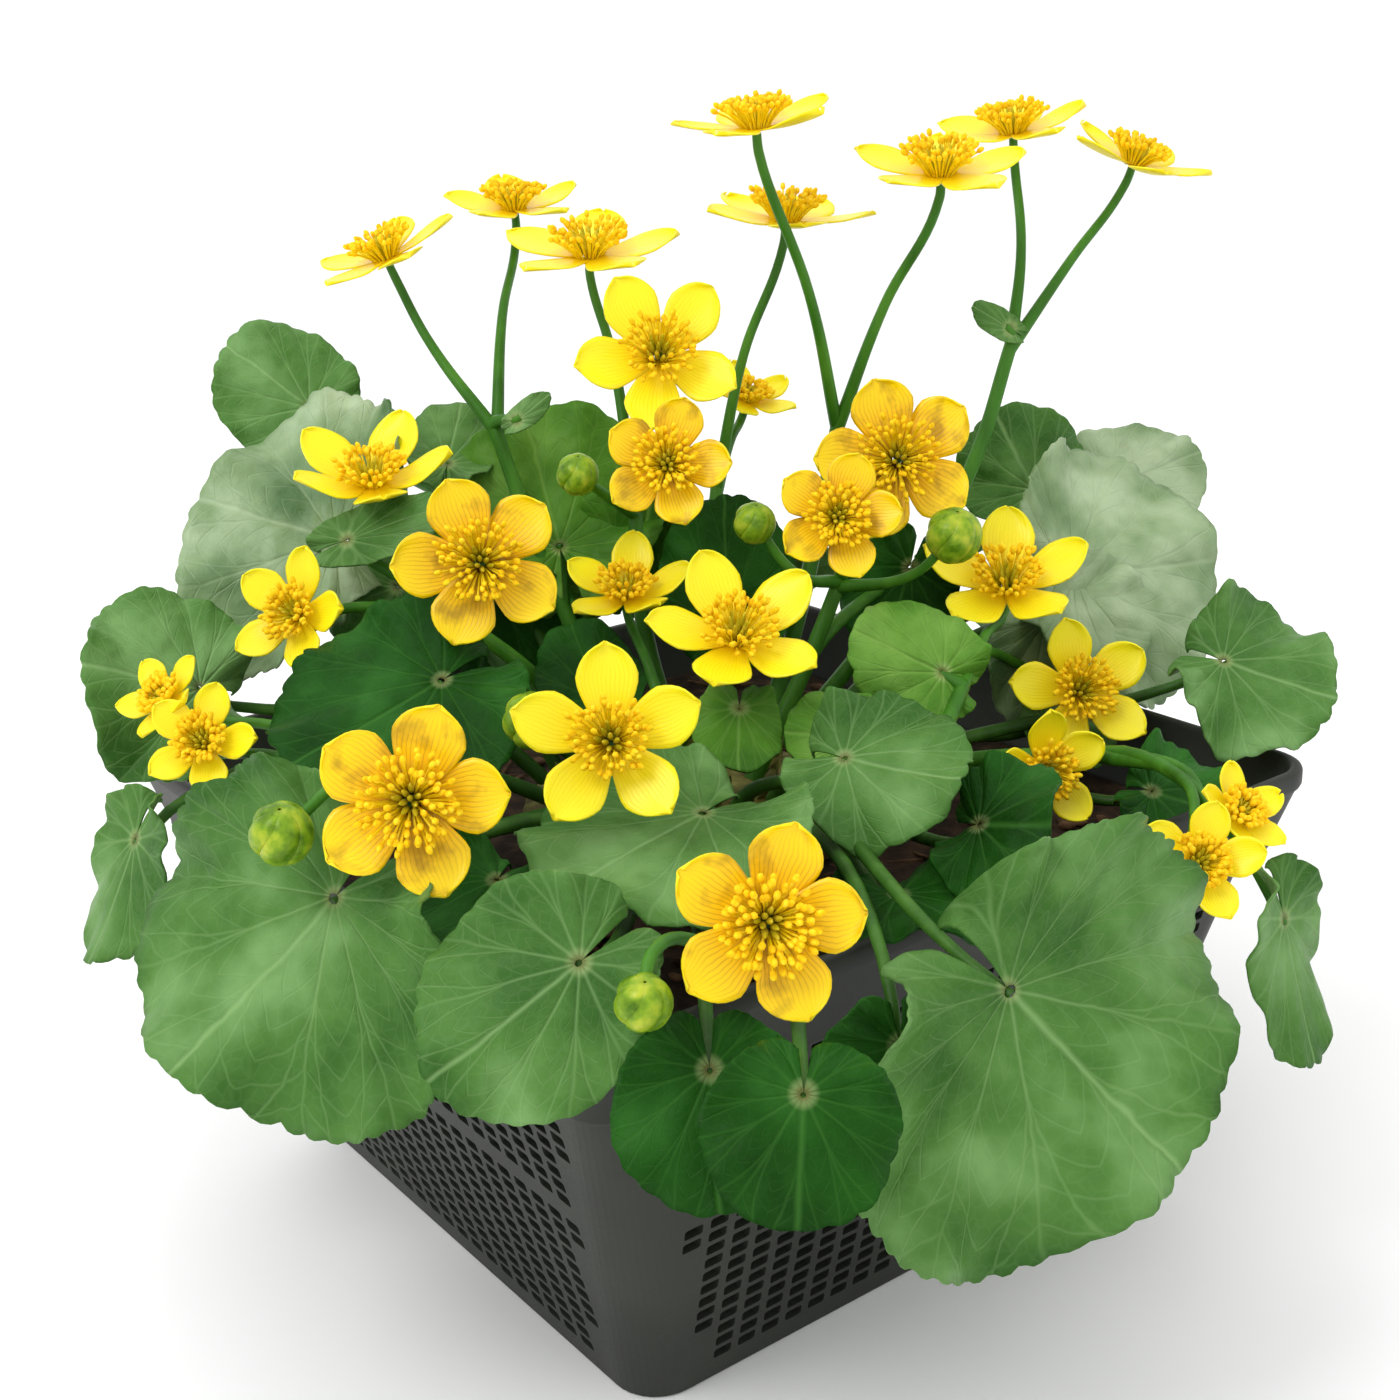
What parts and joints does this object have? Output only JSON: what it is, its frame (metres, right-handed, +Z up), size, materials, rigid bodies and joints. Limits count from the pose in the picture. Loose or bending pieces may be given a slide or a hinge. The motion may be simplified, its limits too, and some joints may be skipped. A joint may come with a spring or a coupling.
{
  "type": "marsh marigold in pond basket",
  "caption": "Marsh marigold with golden flowers, round toothed leaves and green buds, growing in a square perforated pond basket filled with soil.",
  "frame": {"origin": "middle of the underside of the basket's foot", "axes": "+Z up; the basket's walls face +-X and +-Y; the near corner and the fullest side of the plant point towards -Y and -X"},
  "size_m": [0.2832, 0.2714, 0.2357],
  "materials": {
    "basket_plastic": "moulded dark grey-green plastic, matte",
    "soil": null,
    "leaf_green": null,
    "stem_green": null,
    "sepal_yellow": null
  },
  "bodies": {
    "root": {"basket": "basket_plastic", "crown": "leaf_green", "flower_01": "sepal_yellow", "flower_02": "sepal_yellow", "flower_03": "sepal_yellow", "flower_04": "sepal_yellow", "flower_05": "sepal_yellow", "flower_06": "sepal_yellow", "flower_07": "sepal_yellow", "flower_08": "sepal_yellow", "flower_09": "sepal_yellow", "flower_10": "sepal_yellow", "flower_11": "sepal_yellow", "flower_12": "sepal_yellow", "flower_13": "sepal_yellow", "flower_14": "sepal_yellow", "flower_15": "sepal_yellow", "flower_16": "sepal_yellow", "flower_17": "sepal_yellow", "flower_18": "sepal_yellow", "flower_19": "sepal_yellow", "flower_20": "sepal_yellow", "flower_21": "sepal_yellow", "flower_22": "sepal_yellow", "flower_23": "sepal_yellow", "flower_24": "sepal_yellow", "flowers_far_left": "sepal_yellow", "flowers_far_right": "sepal_yellow", "leaf_behind_bud": "leaf_green", "leaf_by_stem": "leaf_green", "leaf_far_left": "leaf_green", "leaf_far_right": "leaf_green", "leaf_front_left": "leaf_green", "leaf_front_right": "leaf_green", "leaf_hanging_left": "leaf_green", "leaf_inner_right": "leaf_green", "leaf_left_folded": "leaf_green", "leaf_middle": "leaf_green", "leaf_middle_right": "leaf_green", "leaf_rear": "leaf_green", "leaf_right_gap": "leaf_green", "leaf_rim_front": "leaf_green", "leaf_rim_low": "leaf_green", "leaf_round_left": "leaf_green", "leaf_tall_left": "leaf_green", "leaf_tall_right": "leaf_green", "leaf_under_right": "leaf_green", "soil": "soil", "stem_1": "stem_green", "stem_10": "stem_green", "stem_11": "stem_green", "stem_12": "stem_green", "stem_2": "stem_green", "stem_3": "stem_green", "stem_4": "stem_green", "stem_5": "stem_green", "stem_6": "stem_green", "stem_7": "stem_green", "stem_8": "stem_green", "stem_9": "stem_green"}
  },
  "joints": []
}
